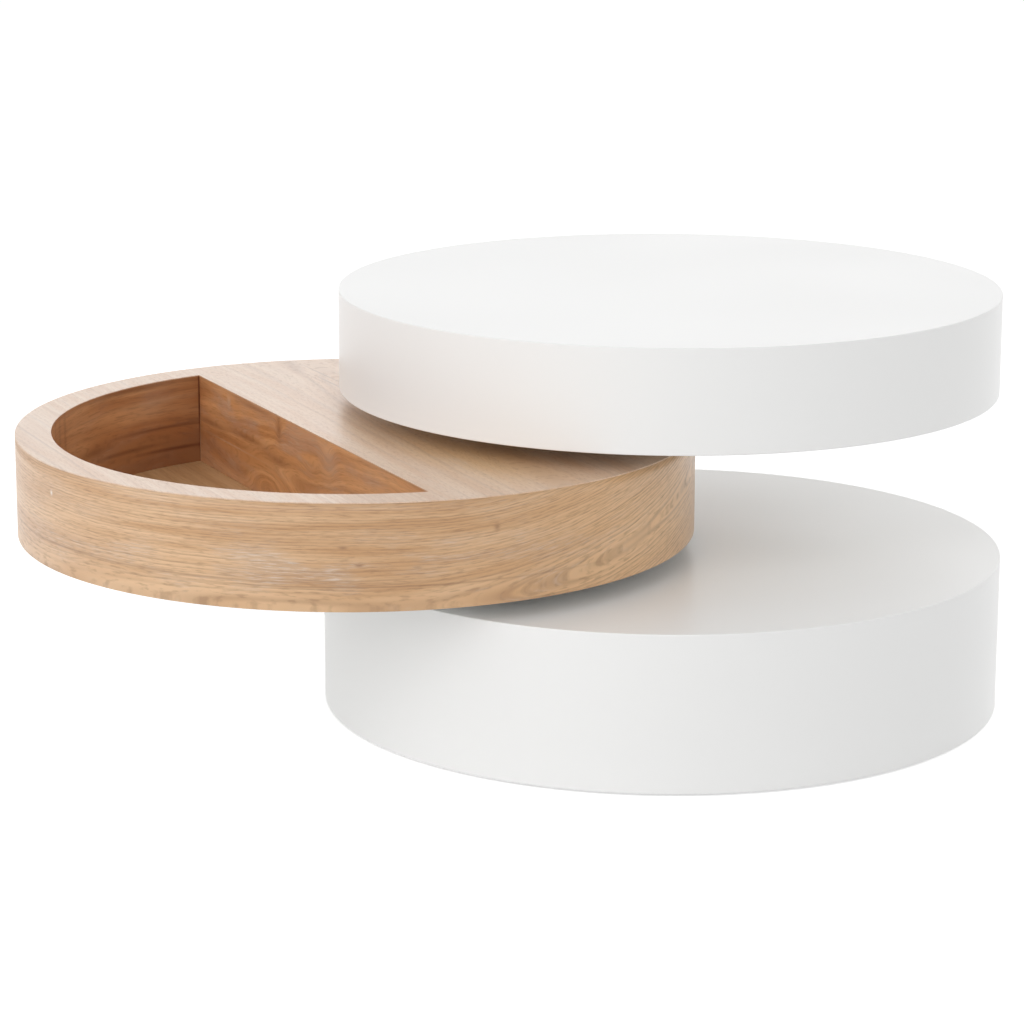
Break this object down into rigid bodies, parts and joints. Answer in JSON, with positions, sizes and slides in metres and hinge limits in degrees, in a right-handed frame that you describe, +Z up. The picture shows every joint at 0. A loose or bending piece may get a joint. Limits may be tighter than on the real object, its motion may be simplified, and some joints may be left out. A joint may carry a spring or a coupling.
{
  "type": "swivel coffee table",
  "caption": "Coffee table of stacked round drums, offset on one post; the oak tray drum with an open D-shaped recess and the white tabletop each turn right round it.",
  "frame": {"origin": "on the floor, under the centre of the base drum, at the foot of the middle glide", "axes": "+Z up; +Y away from the viewer who has the swung-out tray on the left; +X to that viewer's right"},
  "size_m": [1.093, 0.8942, 0.44],
  "materials": {
    "white_lacquer": "white satin lacquer on bent plywood and fibreboard",
    "white_backing": "white melamine-faced board",
    "oak_veneer": "light oak veneer, matt varnish",
    "oak_recess": "oak veneer, warmer tone, matt varnish",
    "fibreboard": "raw fibreboard",
    "birch_plywood": "raw birch plywood",
    "post_steel": "black powder coat on steel",
    "turned_steel": "turned, bright",
    "bearing_steel": "ground",
    "zinc_steel": "zinc plated",
    "cage_brass": "stamped",
    "nylon": "natural nylon",
    "black_plastic": "moulded polypropylene",
    "felt": "pressed wool felt, self-adhesive"
  },
  "bodies": {
    "base": {"base_side_wall": "white_lacquer", "base_top_board": "white_lacquer", "base_floor_board": "white_backing", "base_long_ribs": "fibreboard", "base_cross_ribs": "fibreboard", "base_hub_block": "birch_plywood", "base_floor_screws": "zinc_steel", "base_glides": "felt", "swivel_post": "post_steel", "post_bolts": "zinc_steel", "post_washers": "zinc_steel", "post_nuts": "zinc_steel", "post_access_cap": "black_plastic", "bearing_seat_plate": "turned_steel", "seat_plate_screws": "zinc_steel", "lower_bearing_base_race": "bearing_steel", "spindle_upper_bush": "nylon", "spindle_lower_bush": "nylon", "upper_bearing_post_race": "bearing_steel"},
    "lower_roller_set": {"lower_bearing_cage": "cage_brass", "lower_bearing_rollers": "bearing_steel"},
    "tray": {"tray_side_wall": "oak_veneer", "tray_top_veneer": "oak_veneer", "tray_deck_board": "fibreboard", "tray_rim_board": "fibreboard", "tray_recess_wall": "oak_recess", "tray_divider": "oak_recess", "recess_floor_panel": "oak_recess", "tray_rim_spacers": "fibreboard", "tray_floor_board": "white_backing", "tray_long_ribs": "fibreboard", "tray_cross_ribs": "fibreboard", "tray_hub_block": "birch_plywood", "tray_hub_sleeve": "turned_steel", "tray_sleeve_screws": "zinc_steel", "tray_lower_bush": "nylon", "tray_upper_bush": "nylon", "lower_bearing_tray_race": "bearing_steel"},
    "upper_roller_set": {"upper_bearing_cage": "cage_brass", "upper_bearing_rollers": "bearing_steel"},
    "tabletop": {"top_side_wall": "white_lacquer", "top_board": "white_lacquer", "top_floor_board": "white_backing", "top_long_ribs": "fibreboard", "top_cross_ribs": "fibreboard", "top_hub_block": "birch_plywood", "pivot_plate": "turned_steel", "pivot_plate_screws": "zinc_steel", "pivot_spindle": "turned_steel", "spindle_keeper": "zinc_steel", "spindle_keeper_bolt": "zinc_steel", "upper_bearing_top_race": "bearing_steel"}
  },
  "joints": [
    {"name": "tray_swing", "type": "hinge", "parent": "base", "child": "tray", "pos_m": [-0.17142, 0.07347, 0.1885], "axis": [0, 0, 1], "continuous": true},
    {"name": "top_swing", "type": "hinge", "parent": "base", "child": "tabletop", "pos_m": [-0.17142, 0.07347, 0.32], "axis": [0, 0, 1], "continuous": true},
    {"name": "lower_roller_turn", "type": "hinge", "parent": "base", "child": "lower_roller_set", "pos_m": [-0.17142, 0.07347, 0.1815], "axis": [0, 0, 1], "continuous": true},
    {"name": "upper_roller_turn", "type": "hinge", "parent": "base", "child": "upper_roller_set", "pos_m": [-0.17142, 0.07347, 0.3145], "axis": [0, 0, 1], "continuous": true}
  ],
  "couplings": [
    {"joint": "lower_roller_turn", "follows": "tray_swing", "ratio": 0.5},
    {"joint": "upper_roller_turn", "follows": "top_swing", "ratio": 0.5}
  ]
}
